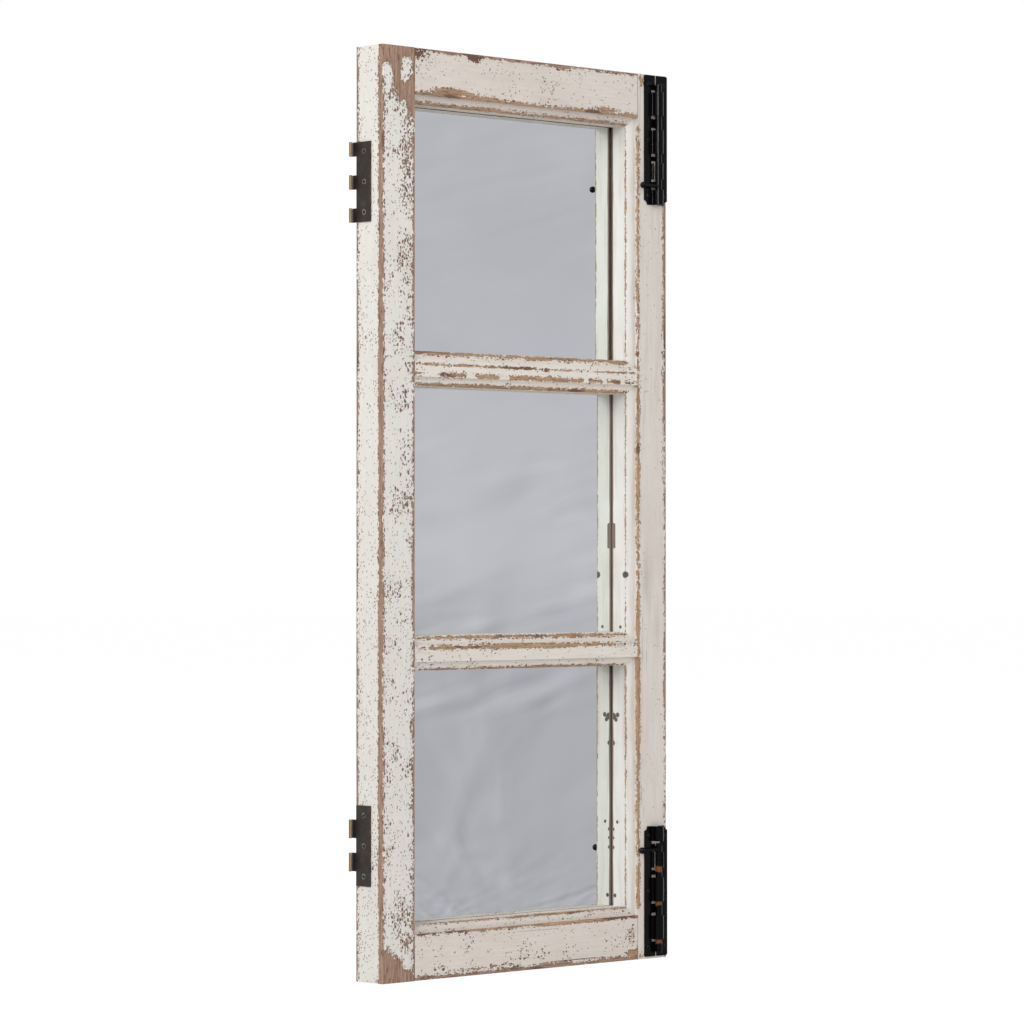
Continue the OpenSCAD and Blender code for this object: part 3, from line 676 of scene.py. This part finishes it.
class MIRROR_OT_finish_rails(bpy.types.Operator):
    """Paint and wear both rails"""

    bl_idname = "mirror.finish_rails"
    bl_label = "Finish rails"

    def execute(self, context):
        self.top(context.scene.sash)
        self.bottom(context.scene.sash)
        return {"FINISHED"}

    def top(self, settings):
        """Worn along its moulding and at places on its upper edge; the downward slope has painted shade."""
        rail = Timber("top_rail_paint", "x", 31.0)
        f = rail.finish
        rail.bands((
            (HALF_HEIGHT, FRONT + 0.3 * MM, 5.0, 0.86),
            (RAIL_FLAT + 0.6 * MM, FRONT, 4.4, 0.88),
            (RAIL_SIGHT + 0.8 * MM, FRONT + DROP - 1.0 * MM, 4.6, 0.82),
        ))
        rail.wears(patches(
            f, (-137, 410, 17, 9), (-68, 413, 17, 8, 1.1), (46, 413, 28, 5, 0.9), (-96, 378, 42, 6, 1.05),
            (100, 377.5, 30, 3.5, 0.9),
        ))
        soiled = patches(
            f, (-137, 410, 30, 12, 0.3), (-68, 413, 20, 9, 0.3), (84, 374, 16, 5, 0.3),
            (15, 367, 45, 3, 0.25),
        )
        # Painted shade: the moulding's downward slope is greyed
        painted_slope_shade = (f.y - FRONT).ramp(2 * MM, 6 * MM) * (f.z - RAIL_FLAT).ramp(-9 * MM, 0) * 0.45
        self.paint(rail, settings, "top_rail", 0.03, soiled, joint_cracks(f), painted_slope_shade)

    def bottom(self, settings):
        """Worn along both long edges, with thin splits in its face."""
        rail = Timber("bottom_rail_paint", "x", 52.0)
        f = rail.finish
        rail.bands((
            (HALF_HEIGHT - 1.5 * MM, FRONT, 5.0, 0.82),
            (RAIL_FLAT + 0.2 * MM, FRONT, 4.0, 0.86),
            (RAIL_SIGHT + 0.4 * MM, FRONT + DROP - 0.5 * MM, 3.2, 0.68),
        ))
        rail.wears(patches(
            f, (-102, -373, 40, 4.5, 1.1), (132, -391, 12, 20, 0.42), (-60, -409, 70, 3.2, 0.66),
            (135, -410, 14, 7, 1.0),
        ))
        soiled = patches(f, (-100, -373, 48, 12, 0.4), (100, -372, 50, 6, 0.3))
        splits = patches(f, (62, -409.3, 70, 0.7, 0.9), (10, -379.3, 160, 0.45, 0.55))
        self.paint(rail, settings, "bottom_rail", 0.10, soiled, joint_cracks(f).at_least(splits))

    def paint(self, rail, settings, name, specks, dark, cracks, shade=None):
        """Ends a rail's wear at its back edges, and paints it."""
        rail.bands(((HALF_HEIGHT, 0, 4.0, 0.75), (RAIL_SIGHT + REBATE, 0, 3.0, 0.7)))
        dress(painted(
            rail, settings, rebate_dirt_and_shade(rail, RAIL_SIGHT + REBATE), rail.plain(),
            tint=(0.925, 0.897, 0.88), specks=specks, dust=0.12, pits=0.75,
            tan=0.6 - (rail.across - RAIL_FLAT).ramp(0.02, 0.03) * 0.3, dark=dark, wash=0.15,
            cracks=cracks, shade=shade,
        ), name)


class MIRROR_OT_finish_muntins(bpy.types.Operator):
    """Paint and wear both muntins"""

    bl_idname = "mirror.finish_muntins"
    bl_label = "Finish muntins"

    def execute(self, context):
        self.upper(context.scene.sash)
        self.lower(context.scene.sash)
        return {"FINISHED"}

    def upper(self, settings):
        """Bare along its upper slope, with islands of paint along its lower one."""
        muntin, middle, half = self.start("upper_muntin", 71.0)
        f = muntin.finish
        self.edge(muntin, middle + half - 1.6 * MM, FRONT + 7 * MM, 5.0, 0.82)
        self.edge(muntin, middle + 3.6 * MM, FRONT, 2.2, 0.66)
        self.edge(muntin, middle - 5.4 * MM, FRONT, 3.8, 0.80)
        self.edge(muntin, middle - half + 1.4 * MM, FRONT + 7.4 * MM, 4.2, 0.82)
        muntin.wears(patches(
            f, (-12, 143, 60, 4.5, 0.9), (-30, 133.3, 9, 3, 0.9), (22, 133, 8, 3, 0.9),
            (-60, 143.5, 34, 4, 0.9),
        ))
        for x, reach in ((-121, 12), (-72, 9), (-31, 8), (73, 4), (98, 4), (121, 3)):
            muntin.keeps((x, 124, reach, 4, 1.2))
        soiled = patches(f, (-58, 143, 22, 6, 0.3), (103, 143.5, 20, 4, 0.4))
        self.paint(muntin, settings, "upper_muntin", half, bright=1.06, specks=0.05, dark=soiled)

    def lower(self, settings):
        """Worn along its upper edge, with many chips."""
        muntin, middle, half = self.start("lower_muntin", 93.0)
        f = muntin.finish
        self.edge(muntin, middle + half - 2.2 * MM, FRONT + 6.5 * MM, 3.8, 0.80)
        self.edge(muntin, middle + 4.8 * MM, FRONT, 4.0, 0.84)
        self.edge(muntin, middle - half + 1.0 * MM, FRONT + 7.8 * MM, 3.8, 0.82)
        muntin.wears(patches(f, (-10, -119.3, 110, 2.6, 0.9), (10, -111.3, 34, 3.5, 0.9)))
        soiled = patches(f, (14, -111, 34, 6, 0.4), (-105, -139, 45, 5, 0.25))
        self.paint(muntin, settings, "lower_muntin", half, bright=1.0, specks=0.12, dark=soiled)

    def start(self, name, seed):
        """A muntin's timber, the height of its middle line and half its width."""
        low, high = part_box(name)
        middle = (low.z + high.z) / 2
        return Timber(name + "_paint", "x", seed, middle), middle, (high.z - low.z) / 2

    def edge(self, muntin, z, depth, width, strength):
        """Wear along one line at a height, which fades out towards the muntin's ends."""
        ends = 1 - abs(muntin.finish.x).ramp(0.115, 0.140) * 0.5
        muntin.wears(band(muntin.finish, muntin.finish.z, z, depth, width * MM, strength) * ends)

    def paint(self, muntin, settings, name, half, bright, specks, dark):
        """Ends a muntin's wear at its back edges, and paints it."""
        muntin.bands(((half - REBATE, 0, 3.0, 0.7),))
        dress(painted(
            muntin, settings, rebate_dirt_and_shade(muntin, half), muntin.plain(),
            tint=toned((0.975, 0.965, 0.945), bright), specks=specks, dust=0.12, pits=0.7, tan=0.62,
            dark=dark, wash=0.1, cracks=joint_cracks(muntin.finish),
        ), name)


# Mirrors and backers


def silvering(settings):
    """Silver behind glass, with a few dull spots and a faint ripple."""
    f = Finish("silvering")
    spots = f.noise(1 / (9 * MM), (3, 0, 1), detail=5, rough=0.7).ramp(0.74, 0.8)
    ripple = f.noise((1 / (90 * MM), 1 / (90 * MM), 1 / (160 * MM)), detail=1)
    return f.shade(
        Base_Color=f.mix(spots * 0.25, settings.silver, toned(settings.silver, 0.7)),
        Metallic=1.0,
        Roughness=0.012 + spots * 0.05,
        Normal=f.bump(ripple, 0.12 * MM, 0.6),
    )


def hardboard(settings):
    """Brown pressed fibre with the mark of its screen."""
    f = Finish("hardboard")
    fibre = f.noise(1 / (0.9 * MM), detail=4, rough=0.7)
    cloudy = f.noise(1 / (40 * MM), detail=4)
    cell = {"Vector": f.stretched((1 / (1.4 * MM),) * 3), "Scale": 1.0}
    screen = f.add("ShaderNodeTexVoronoi", {}, cell)
    colour = f.mix(fibre.ramp(0.3, 0.7), toned(settings.board, (0.567, 0.53, 0.5)), settings.board)
    colour = f.mix(cloudy.ramp(0.4, 0.7) * 0.5, colour, toned(settings.board, (1.2, 1.294, 1.333)))
    return f.shade(Base_Color=colour, Roughness=0.8, Normal=f.bump(screen + fibre, 0.2 * MM, 0.7))


class MIRROR_OT_make_mirrors(bpy.types.Operator):
    """Make the silvered panes, whose reflection starts behind the glass's front"""

    bl_idname = "mirror.make_mirrors"
    bl_label = "Make mirrors"

    def execute(self, context):
        settings = context.scene.mirror
        material = silvering(settings)
        for name, deeper in zip(MIRRORS, PANE_SHIFTS):
            low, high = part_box(name)
            low.y += settings.depth + deeper
            pane = self.pane(name + "_pane", low, high)
            pane.data.materials.append(material)
            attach(pane, "sash")
            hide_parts(name)
        return {"FINISHED"}

    def pane(self, name, low, high):
        """A sheet between two corners, with its edges ground."""
        bpy.ops.object.select_all(action="DESELECT")
        bpy.ops.mesh.primitive_cube_add(size=1, location=(low + high) / 2)
        pane = bpy.context.object
        pane.name = name
        pane.data.name = name
        pane.scale = high - low
        bpy.ops.object.transform_apply(location=True, rotation=True, scale=True)
        bevel = pane.modifiers.new("ground_edges", "BEVEL")
        bevel.width = 0.1 * MM
        bevel.segments = 2
        bpy.ops.object.modifier_apply(modifier=bevel.name)
        return pane


class MIRROR_OT_finish_backers(bpy.types.Operator):
    """Give the backers their hardboard"""

    bl_idname = "mirror.finish_backers"
    bl_label = "Finish backers"

    def execute(self, context):
        dress(hardboard(context.scene.sash), *BACKERS)
        return {"FINISHED"}


# Metalwork


def lacquer(settings, name, rust_places=()):
    """Black lacquer, a little dusty and worn, with rust round some heights on a rod."""
    f = Finish(name)
    orange_peel = f.noise(1 / (1.6 * MM), detail=2)
    dust = f.noise(1 / (5 * MM), detail=5, rough=0.7)
    worn = f.noise(1 / (2.4 * MM), (3, 3, 3), detail=4, rough=0.7).ramp(0.66, 0.74)
    colour = f.mix(dust.ramp(0.5, 0.8) * 0.5, settings.lacquer, toned(settings.lacquer, 3.2))
    colour = f.mix(worn * 0.35, colour, PRIMER)
    rough = 0.08 + dust * 0.12 + worn * 0.2
    for place in rust_places:
        near = (1 - abs(f.z - place) / RUST_REACH).at_least(0.0)
        rusty = (near + (dust - 0.5) * 1.4).ramp(0.35, 0.6) * 0.9
        colour = f.mix(rusty, colour, settings.rust)
        rough = rough + rusty * 0.4
    return f.shade(
        Base_Color=colour,
        Roughness=rough.at_most(0.8),
        Normal=f.bump(orange_peel, 0.06 * MM, 0.5),
        Specular_IOR_Level=0.13,
    )


def antique_bronze(settings):
    """Darkened bronze, with brass on the cut edges and a painted highlight in the knuckles' bores."""
    f = Finish("antique_bronze")
    low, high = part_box(HINGES[0])
    mottle = f.noise(1 / (3 * MM), detail=5, rough=0.65)
    wide = f.noise(1 / (18 * MM), detail=3)
    colour = f.mix(mottle.ramp(0.35, 0.7), settings.bronze, toned(settings.bronze, 1.7))
    colour = f.mix(wide.ramp(0.5, 0.75) * 0.4, colour, WORN_BRONZE)
    # Brass shows on the sheet's cut ends and on the leaf's front rim
    curl = (1 - abs(f.x - low.x - 0.7 * MM) / (1.2 * MM)).at_least(0.0)
    curl = curl * (1 - abs(f.y - 0.4 * MM) / (1.6 * MM)).at_least(0.0)
    rim = (1 - (f.y - low.y) / (0.5 * MM)).at_least(0.0)
    edge = ((curl * 2.6).at_least(rim * 0.4) + (mottle - 0.5) * 0.5).ramp(0.3, 0.7)
    colour = f.mix(edge, colour, settings.brass)
    # A painted highlight: a bright line inside each knuckle's bore
    off = f.x - (low.x + KNUCKLE)
    bore = distance(off, f.y - (high.y - KNUCKLE))
    inside = 1 - bore.ramp(KNUCKLE - 1.2 * MM, KNUCKLE - 1.0 * MM)
    line = 1 - abs(off - 0.2 * MM) / (0.7 * MM)
    colour = f.mix((inside * line * 3).kept(), colour, KNUCKLE_HIGHLIGHT)
    return f.shade(
        Base_Color=colour,
        Metallic=0.55,
        Roughness=0.42 + mottle * 0.2,
        Normal=f.bump(mottle, 0.1 * MM, 0.5),
    )


def screw_bronze(settings):
    """Bronzed screw heads on the hinges, with a worn rim and painted shade in the dark cross recess."""
    low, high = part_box("hinge_screws")
    leaf_low, leaf_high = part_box(HINGES[0])
    middle = (leaf_low.z + leaf_high.z) / 2
    radius = (high.y - low.y) / 2
    pitch = high.z - radius - middle
    f = Finish("screw_bronze")
    speck = f.noise(1 / (1.2 * MM), detail=4)
    patchy = f.noise(1 / (2.2 * MM), (5, 1, 2)).ramp(0.42, 0.56)
    # How far a place lies from the middle of the nearest screw
    off = f.y - (low.y + high.y) / 2
    up = abs(abs(f.z) - middle)
    up = up.at_most(abs(up - pitch))
    away = distance(off, up)
    rim = away.ramp(radius * 0.62, radius * 0.74) * (1 - away.ramp(radius * 0.86, radius * 0.96))
    cross = 1 - abs(off).at_most(up).ramp(0.20 * MM, 0.42 * MM)
    cross = cross * (1 - away.ramp(1.1 * MM, 1.4 * MM))
    recess = cross.at_least(1 - away.ramp(0.5 * MM, 0.75 * MM))
    colour = f.mix(speck.ramp(0.35, 0.65), settings.screw, toned(settings.screw, (2.14, 2.13, 2.07)))
    colour = f.mix(rim * patchy, colour, settings.steel)
    return f.shade(
        # Painted shade: the cross recess and the head's middle are near-black
        Base_Color=f.mix(recess, colour, RECESS_SHADE),
        Metallic=0.7,
        Roughness=0.4 + speck * 0.2,
        Normal=f.bump(1 - recess, 0.6 * MM, 0.8),
    )


def yellow_zinc(settings):
    """Cloudy yellow plating with fine upright lines."""
    f = Finish("yellow_zinc")
    cloud = f.noise(1 / (6 * MM), detail=4)
    fine = f.noise((1 / MM, 1 / MM, 1 / (8 * MM)), detail=3)
    return f.shade(
        Base_Color=f.mix(cloud.ramp(0.3, 0.7), settings.plating, settings.zinc),
        Metallic=1.0,
        Roughness=0.3 + fine * 0.18,
        Normal=f.bump(fine, 0.04 * MM, 0.4),
    )


class MIRROR_OT_finish_bolts(bpy.types.Operator):
    """Lacquer the barrel bolts, with rust on the lower rod"""

    bl_idname = "mirror.finish_bolts"
    bl_label = "Finish bolts"

    def execute(self, context):
        settings = context.scene.metal
        black = lacquer(settings, "black_lacquer")
        for which in BOLTS:
            dress(black, which + "_bolt_plate", which + "_bolt_lever")
        dress(black, "bolt_screws")
        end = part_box("lower_bolt_plate")[0].z
        dress(lacquer(settings, "upper_rod_lacquer"), "upper_bolt_rod")
        places = [end + place * MM for place in RUST_PLACES]
        dress(lacquer(settings, "lower_rod_lacquer", places), "lower_bolt_rod")
        return {"FINISHED"}


class MIRROR_OT_finish_hinges(bpy.types.Operator):
    """Darken the hinge leaves and their screws, with brass showing on the cut edges"""

    bl_idname = "mirror.finish_hinges"
    bl_label = "Finish hinges"

    def execute(self, context):
        settings = context.scene.metal
        dress(antique_bronze(settings), *HINGES)
        dress(screw_bronze(settings), "hinge_screws")
        return {"FINISHED"}


class MIRROR_OT_finish_hangers(bpy.types.Operator):
    """Plate the hangers, their screws and the glazing points"""

    bl_idname = "mirror.finish_hangers"
    bl_label = "Finish hangers"

    def execute(self, context):
        dress(yellow_zinc(context.scene.metal), *HANGERS, "glazing_points")
        return {"FINISHED"}


# The stage


def choose(piece, kind, test):
    """Selects the edges or polygons of a mesh that pass a test, and leaves it in edit mode."""
    bpy.ops.object.mode_set(mode="EDIT")
    bpy.ops.mesh.select_all(action="DESELECT")
    bpy.ops.mesh.select_mode(type=kind)
    bpy.ops.object.mode_set(mode="OBJECT")
    for part in piece.data.edges if kind == "EDGE" else piece.data.polygons:
        part.select = test(part)
    bpy.ops.object.mode_set(mode="EDIT")


class MIRROR_OT_make_stage(bpy.types.Operator):
    """Make the floor, the studio cloth, the lamps, the world and the camera"""

    bl_idname = "mirror.make_stage"
    bl_label = "Make stage"

    def execute(self, context):
        settings = context.scene.stage
        self.floor(context, settings)
        self.cloth(context, settings)
        self.lamps(context)
        self.world(context, settings)
        self.camera(context, settings)
        return {"FINISHED"}

    def floor(self, context, settings):
        """A pale floor, white but for the shadow where it is seen, which lights the sash from below."""
        bpy.ops.object.select_all(action="DESELECT")
        bpy.ops.mesh.primitive_plane_add(size=FLOOR_SIZE, location=(0, 0, -HALF_HEIGHT - FLOOR_GAP))
        plane = context.object
        plane.name = "floor"
        bpy.ops.object.transform_apply(location=True)
        f = Finish("pale_floor")
        seen = f.seen()
        plain = f.add("ShaderNodeBsdfDiffuse", {}, {"Color": f.mix(seen, settings.bounce, settings.floor)})
        lit = f.glow(f.mix(seen, settings.lift, settings.white))
        plane.data.materials.append(f.end(f.add("ShaderNodeAddShader", {}, {0: plain, 1: lit})))

    def cloth(self, context, settings):
        """Half a drum of cloth before the sash, with a foot that runs in, which only reflections see."""
        bpy.ops.object.select_all(action="DESELECT")
        bpy.ops.mesh.primitive_cylinder_add(
            vertices=96, radius=CLOTH_RADIUS, depth=CLOTH_HEIGHT, end_fill_type="NOTHING",
            location=(0, 0, CLOTH_HEIGHT / 2 - HALF_HEIGHT),
        )
        cloth = context.object
        cloth.name = "studio_cloth"
        bpy.ops.object.transform_apply(location=True)
        corners = cloth.data.vertices
        choose(cloth, "EDGE", lambda edge: all(corners[i].co.z < 0 for i in edge.vertices))
        bpy.ops.mesh.extrude_edges_move()
        bpy.ops.transform.resize(value=(CLOTH_END, CLOTH_END, 1), center_override=(0, 0, 0))
        choose(cloth, "FACE", lambda polygon: polygon.center.y > -0.1)
        bpy.ops.mesh.delete(type="FACE")
        bpy.ops.object.mode_set(mode="OBJECT")
        cloth.data.materials.append(self.grey_cloth(settings))
        cloth.visible_camera = False
        cloth.visible_diffuse = False
        cloth.visible_shadow = False

    def grey_cloth(self, settings):
        """Grey cloth, laid out by turn and rise as the mirror sees it, smooth above and creased below."""
        f = Finish("grey_cloth")
        turn = f.math("ARCTAN2", f.x, f.y * -1)
        rise = (f.z + EYE) / distance(f.x, f.y)
        # On the foot the pattern is drawn out towards the sash
        height = rise.at_least(FOOT) + (rise - FOOT).at_most(0.0) * 0.13
        wide = turn * 0.55
        slack = 1.0 - height.ramp(-0.03, 0.09) * 0.75
        slack = slack * (0.25 + self.folds(f, wide * 16, height * 16).ramp(0.38, 0.62) * 0.75)
        leaning = self.creases(f, wide * 22 + height * 13, height * 76 - wide * 44)
        upright = self.creases(f, height * 16 + wide * 5, wide * 62 - height * 9)
        tone = 0.83 + height.ramp(-0.045, 0.004) * 0.18 - height.ramp(0.01, 0.13) * 0.08
        tone = tone + (self.folds(f, wide * 30 + height * 9, height * 26) - 0.5) * 0.13
        tone = tone + (leaning * 0.36 + upright * 0.26) * slack
        return f.end(f.glow(settings.cloth, tone))

    def folds(self, finish, x, y):
        """Soft noise on two amounts."""
        place = finish.add("ShaderNodeCombineXYZ", {}, {"X": x, "Y": y, "Z": 0.0})
        return finish.add("ShaderNodeTexNoise", {}, {
            "Vector": place, "Scale": 1.0, "Detail": 2.0, "Roughness": 0.5, "Distortion": 0.7,
        })

    def creases(self, finish, x, y):
        """Folds as light from above shows them: light on their upper sides and dark below."""
        return self.folds(finish, x, y) - self.folds(finish, x, y + 0.35)

    def lamps(self, context):
        """Soft lamps that face the sash: the strip only gleams, and the fill leaves no reflection."""
        for name, place, size, power, colour in LAMPS:
            data = bpy.data.lights.new(name, "AREA")
            data.shape = "RECTANGLE"
            data.size, data.size_y = size
            data.energy = power
            data.color = colour
            lamp = bpy.data.objects.new(name, data)
            context.collection.objects.link(lamp)
            lamp.location = place
            lamp.rotation_euler = (-Vector(place)).to_track_quat("-Z", "Y").to_euler()
            lamp.visible_diffuse = name != "strip_lamp"
            lamp.visible_glossy = name != "fill_lamp"

    def world(self, context, settings):
        """White where it is seen, and soft plain light for all that it falls on."""
        world = bpy.data.worlds.new("studio")
        context.scene.world = world
        world.use_nodes = True
        w = Nodes(world.node_tree)
        soft = w.add("ShaderNodeBackground", {}, {"Color": (1, 1, 1, 1), "Strength": settings.soft})
        white = w.add("ShaderNodeBackground", {}, {"Color": (1, 1, 1, 1), "Strength": 1.0})
        mix = w.add("ShaderNodeMixShader", {}, {0: w.seen(), 1: soft, 2: white})
        w.node("ShaderNodeOutputWorld", {}, {"Surface": mix})
        context.scene.view_settings.view_transform = "Standard"

    def camera(self, context, settings):
        """A camera at the photograph's angle."""
        data = bpy.data.cameras.new("camera")
        data.sensor_width = 36
        data.lens = settings.lens
        camera = bpy.data.objects.new("camera", data)
        context.collection.objects.link(camera)
        camera.location = CAMERA
        level = math.cos(PITCH)
        looks = Vector((math.sin(YAW) * level, math.cos(YAW) * level, math.sin(PITCH)))
        camera.rotation_euler = looks.to_track_quat("-Z", "Y").to_euler()
        context.scene.camera = camera


STEPS = (
    MIRROR_OT_finish_stiles, MIRROR_OT_finish_rails, MIRROR_OT_finish_muntins, MIRROR_OT_make_mirrors,
    MIRROR_OT_finish_backers, MIRROR_OT_finish_bolts, MIRROR_OT_finish_hinges, MIRROR_OT_finish_hangers,
    MIRROR_OT_make_stage,
)
GROUPS = {"sash": SashSettings, "mirror": MirrorSettings, "metal": MetalSettings, "stage": StageSettings}


class VIEW3D_PT_mirror(bpy.types.Panel):
    """The steps and the settings of the window mirror"""

    bl_label = "Window mirror"
    bl_idname = "VIEW3D_PT_mirror"
    bl_space_type = "VIEW_3D"
    bl_region_type = "UI"
    bl_category = "Mirror"

    def draw(self, context):
        for step in STEPS:
            self.layout.operator(step.bl_idname)
        for key, group in GROUPS.items():
            box = self.layout.box()
            for name in group.__annotations__:
                box.prop(getattr(context.scene, key), name)


CLASSES = (*GROUPS.values(), *STEPS, VIEW3D_PT_mirror)


def register():
    for cls in CLASSES:
        bpy.utils.register_class(cls)
    for key, group in GROUPS.items():
        setattr(bpy.types.Scene, key, bpy.props.PointerProperty(type=group))


def unregister():
    for key in GROUPS:
        delattr(bpy.types.Scene, key)
    for cls in reversed(CLASSES):
        bpy.utils.unregister_class(cls)


def main():
    """Makes the whole scene."""
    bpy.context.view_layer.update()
    register()
    for step in STEPS:
        group, name = step.bl_idname.split(".")
        getattr(getattr(bpy.ops, group), name)()


if __name__ == "__main__":
    main()
